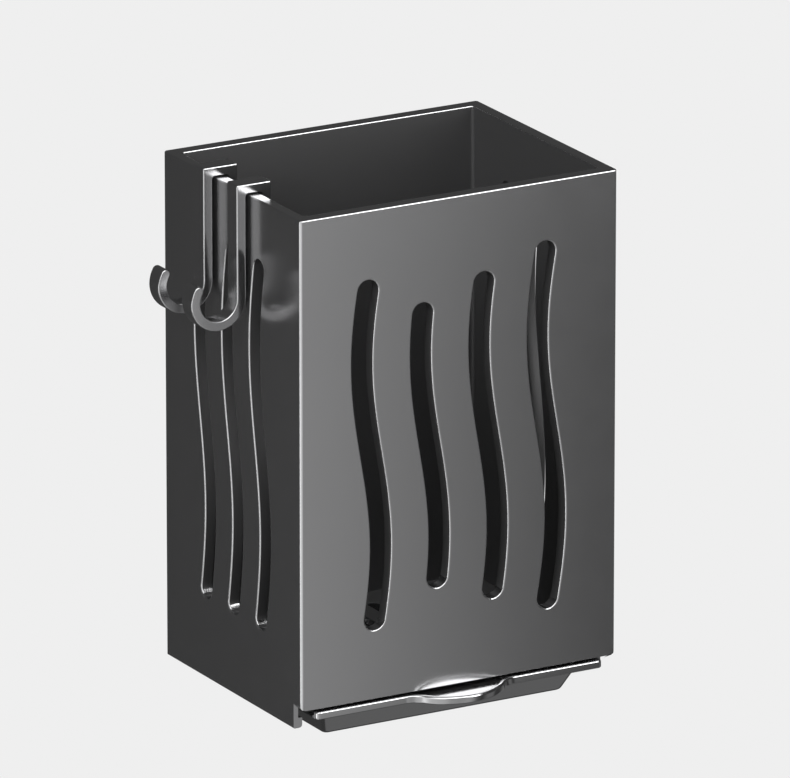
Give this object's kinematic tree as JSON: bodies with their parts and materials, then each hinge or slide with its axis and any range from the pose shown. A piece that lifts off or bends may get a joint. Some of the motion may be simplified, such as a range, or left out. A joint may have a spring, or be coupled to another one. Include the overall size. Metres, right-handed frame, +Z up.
{
  "type": "chopstick holder",
  "caption": "Rectangular wall chopstick and cutlery holder with wave slots, a pull-out drip tray under it and utensil hooks over one side of the rim.",
  "frame": {"origin": "on the flat underside of the drip tray's tub, under the middle of the body's footprint", "axes": "+Z up, -Y to the front, where the tray pulls out, +X to the right as seen from the front; the hooks are on the -X side and the wall is on the +Y side"},
  "size_m": [0.1002, 0.0735, 0.1318],
  "materials": {
    "body_plastic": "gloss moulded, with a gunmetal-grey metallic coat",
    "tray_plastic": "gloss moulded, with a gunmetal-grey metallic coat",
    "hook_plastic": "gloss moulded, with a gunmetal-grey metallic coat"
  },
  "bodies": {
    "body": {"holder_body": "body_plastic"},
    "tray": {"drip_tray": "tray_plastic"},
    "rear_hook": {"hook_rear": "hook_plastic"},
    "front_hook": {"hook_front": "hook_plastic"}
  },
  "joints": [
    {"name": "tray_slide", "type": "slide", "parent": "body", "child": "tray", "axis": [0, -1, 0], "range_m": [0, 0.068]},
    {"name": "rear_hook_slide", "type": "slide", "parent": "body", "child": "rear_hook", "axis": [0, 1, 0], "range_m": [-0.0054, 0.0168]},
    {"name": "front_hook_slide", "type": "slide", "parent": "body", "child": "front_hook", "axis": [0, -1, 0], "range_m": [-0.0054, 0.0208]}
  ]
}
